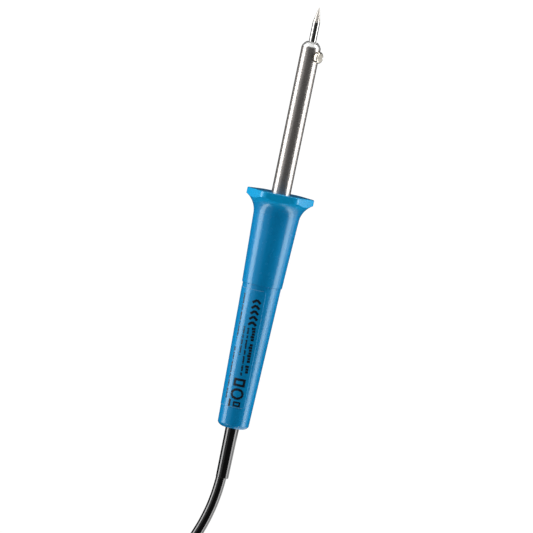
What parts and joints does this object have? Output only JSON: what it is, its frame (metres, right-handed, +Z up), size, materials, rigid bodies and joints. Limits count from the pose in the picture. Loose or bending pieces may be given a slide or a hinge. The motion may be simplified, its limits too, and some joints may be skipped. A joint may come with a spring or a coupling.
{
  "type": "soldering iron",
  "caption": "Mains soldering iron with a pencil tip held by a screw, a slim steel barrel, a flanged tapering handle, and its lead hanked to a fused plug.",
  "frame": {"origin": "under the middle of the iron (its free lead and plug left out), on the surface it rests on", "axes": "+X along the surface towards the tip, +Z up; the iron lies on one flat of its flange and the end of its handle"},
  "size_m": [0.5041, 0.0504, 0.0437],
  "materials": {
    "plated_tip": "plated mirror finish",
    "plated_screw": "bright zinc plate",
    "nose_steel": "bright turned",
    "barrel_steel": "satin stainless",
    "inner_steel": "plain",
    "mica": null,
    "resistance_wire": "oxidised wire",
    "ceramic": null,
    "glass_sleeve": "woven glass sleeving",
    "blue_grip": "glossy moulding",
    "blue_rear_grip": "glossy moulding",
    "clear_label": "thin clear film over the blue grip",
    "tinned_brass": "tinned",
    "green_wire": "earth core insulation",
    "brown_wire": "line core insulation",
    "blue_wire": "neutral core insulation",
    "block_nylon": "natural nylon",
    "clamp_nylon": "black nylon",
    "black_sheath": "smooth black sheath",
    "black_relief": "smooth black sleeve",
    "tie_strap": "soft black strap",
    "plug_black": "fine moulded texture",
    "plug_face_black": "fine moulded texture",
    "plug_guard_black": "soft moulded ribs",
    "pin_brass": "bright brass",
    "pin_sleeve_black": "moulded sleeve",
    "carrier_red": "moulded",
    "fuse_cap_metal": "nickel plate"
  },
  "bodies": {
    "iron": {"barrel": "barrel_steel", "barrel_collar": "inner_steel", "clamp_screws": "plated_screw", "collar_screws": "plated_screw", "cord_clamp": "clamp_nylon", "cord_hank": "black_sheath", "cord_lead": "black_sheath", "cord_tail": "black_sheath", "cord_tie": "tie_strap", "core_tube": "inner_steel", "earth_conductor": "green_wire", "earth_lead": "green_wire", "earth_lug": "tinned_brass", "earth_pin": "pin_brass", "front_grip": "blue_grip", "fuse_clips": "tinned_brass", "heater_leads": "resistance_wire", "heater_winding": "resistance_wire", "inner_mica": "mica", "lead_sleeves": "glass_sleeve", "line_conductor": "brown_wire", "line_pin": "pin_brass", "neutral_conductor": "blue_wire", "neutral_pin": "pin_brass", "nose_bush": "nose_steel", "outer_mica": "mica", "pin_sleeves": "pin_sleeve_black", "plug_body": "plug_black", "plug_face": "plug_face_black", "plug_guard": "plug_guard_black", "plug_lead": "black_sheath", "rating_label": "clear_label", "rear_grip": "blue_rear_grip", "rear_insulator": "ceramic", "strain_relief": "black_relief", "terminal_block": "block_nylon", "terminal_screws": "plated_screw", "terminal_sleeves": "tinned_brass"},
    "tip": {"tip": "plated_tip"},
    "tip_screw": {"tip_screw": "plated_screw"},
    "fuse_carrier": {"fuse_carrier": "carrier_red", "fuse": "ceramic", "fuse_caps": "fuse_cap_metal"}
  },
  "joints": [
    {"name": "tip_slide", "type": "slide", "parent": "iron", "child": "tip", "axis": [0.9979, 0, 0.0655], "range_m": [0, 0.06]},
    {"name": "tip_screw_turn", "type": "hinge", "parent": "iron", "child": "tip_screw", "pos_m": [0.08512, -0.00422, 0.0236], "axis": [-0.036, -0.8358, 0.5478], "range_deg": [0, 720]},
    {"name": "fuse_carrier_slide", "type": "slide", "parent": "iron", "child": "fuse_carrier", "axis": [0, 0, 1], "range_m": [0, 0.018]}
  ]
}
